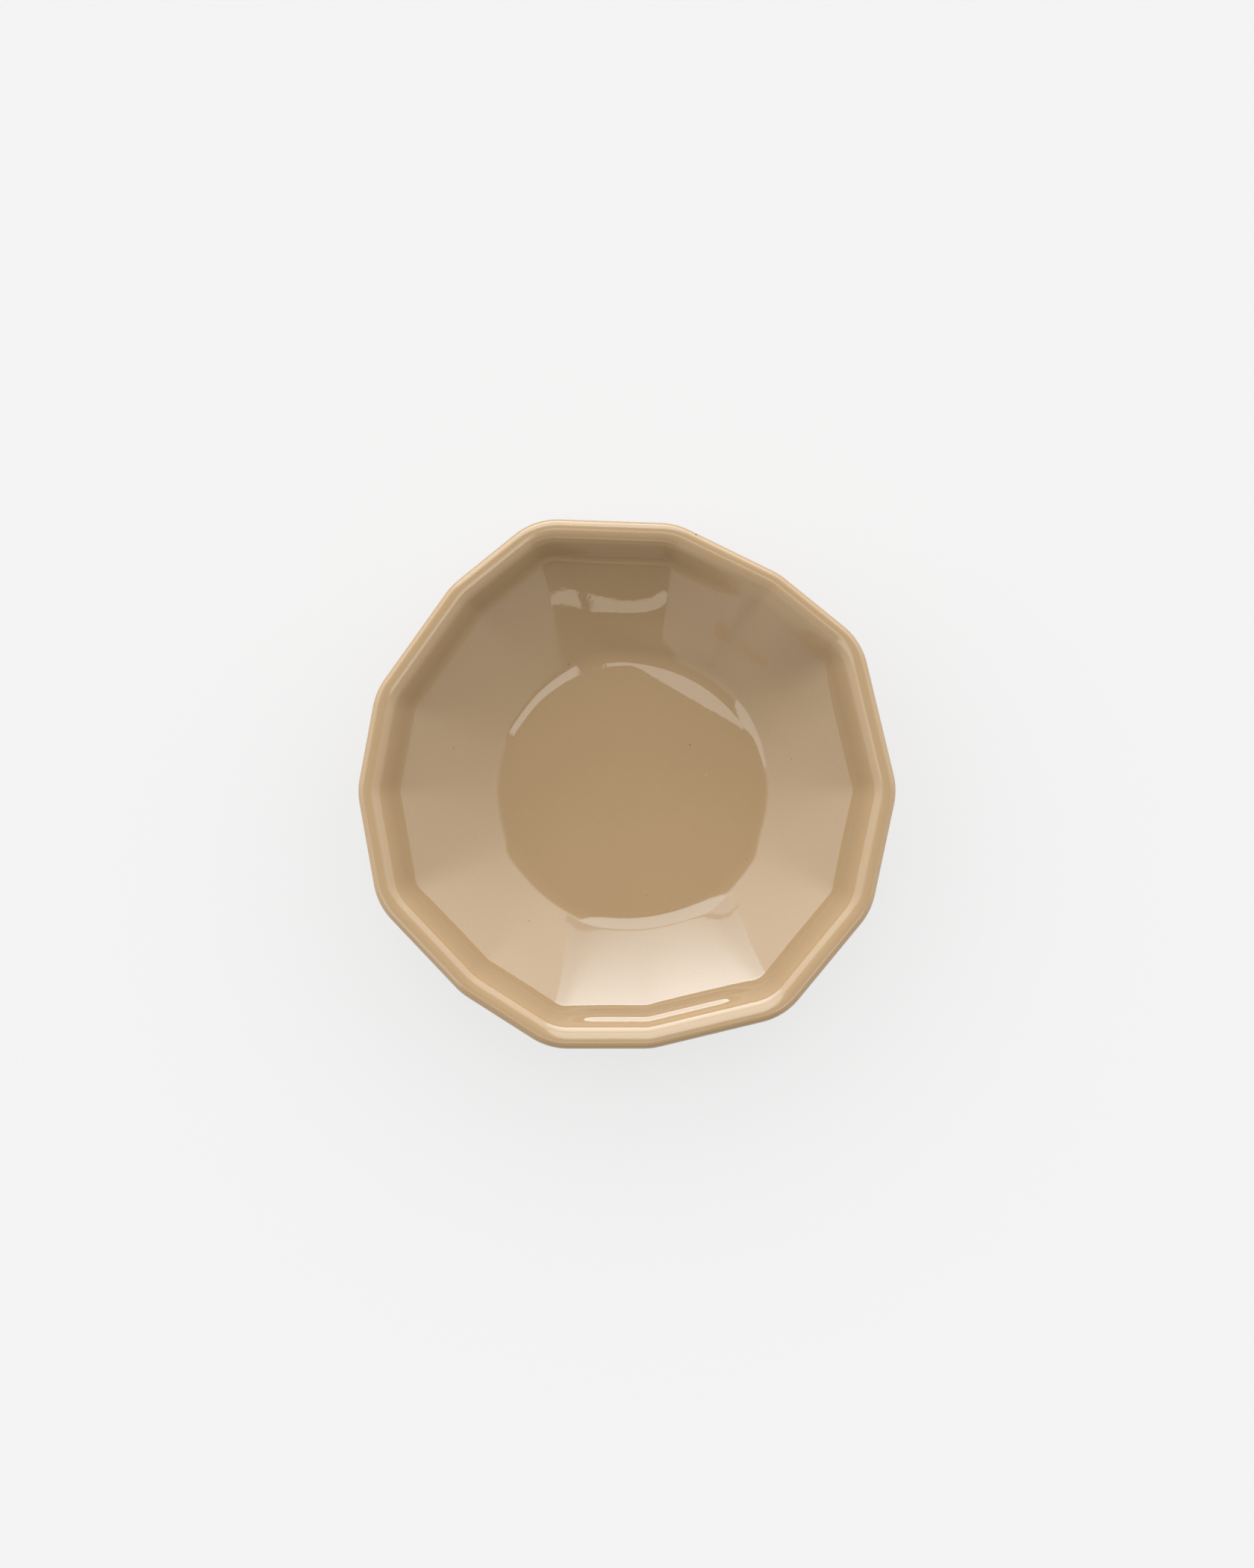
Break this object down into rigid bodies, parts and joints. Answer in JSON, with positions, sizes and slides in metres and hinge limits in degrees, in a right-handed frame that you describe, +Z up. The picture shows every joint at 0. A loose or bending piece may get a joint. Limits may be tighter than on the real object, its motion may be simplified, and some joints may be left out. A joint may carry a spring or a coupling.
{
  "type": "soy sauce dish",
  "caption": "Small faceted dish with an uneven many-sided rim, rounded lip, sloping wall and round flat well, in glossy tan glazed stoneware on a bare foot ring, for dipping sauce.",
  "frame": {"origin": "on the table, under the middle of the rim", "axes": "+Z up out of the bowl, +Y towards the top of the picture, +X to its right"},
  "size_m": [0.095, 0.0936, 0.0255],
  "materials": {
    "clay": "bare fired stoneware, dry and slightly gritty",
    "glaze": "glossy tan glaze"
  },
  "bodies": {
    "root": {"clay_body": "clay", "foot_ring": "clay", "inside_glaze": "glaze", "outside_glaze": "glaze", "underside_glaze": "glaze"}
  },
  "joints": []
}
